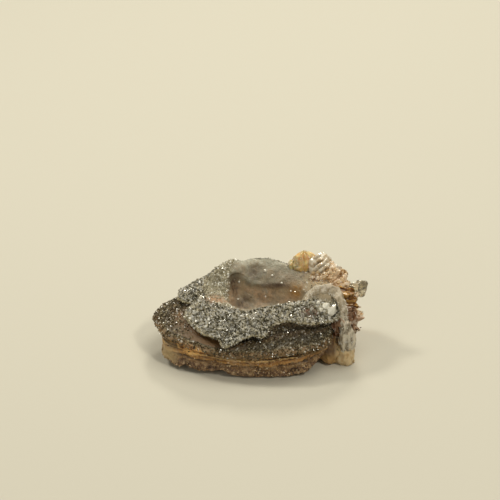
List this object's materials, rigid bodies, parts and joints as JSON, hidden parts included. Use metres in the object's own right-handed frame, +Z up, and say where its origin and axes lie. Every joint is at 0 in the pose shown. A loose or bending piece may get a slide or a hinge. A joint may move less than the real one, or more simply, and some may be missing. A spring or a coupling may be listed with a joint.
{
  "type": "chalcedony rose",
  "caption": "Small natural quartz rosette: a layered base, sugary druse-coated lamellae round a deep bowl, and a fan of glassy petals; rests on its flat underside.",
  "frame": {"origin": "under the middle of the stone's bounding box, on the surface that it rests on", "axes": "+X to the fan of petals, along the longest side; -Y to the front plate, towards the viewer; +Z up, out of the bowl"},
  "size_m": [0.0418, 0.024, 0.0175],
  "materials": {
    "chalcedony": "waxy translucent grey-brown chalcedony with tan and orange iron-stained layers and a cream foot",
    "druse": "clear to milky drusy quartz, tiny bright facets",
    "petals": "glassy translucent amber to pinkish tan chalcedony petals"
  },
  "bodies": {
    "root": {"chalcedony_rose": "chalcedony"}
  },
  "joints": []
}
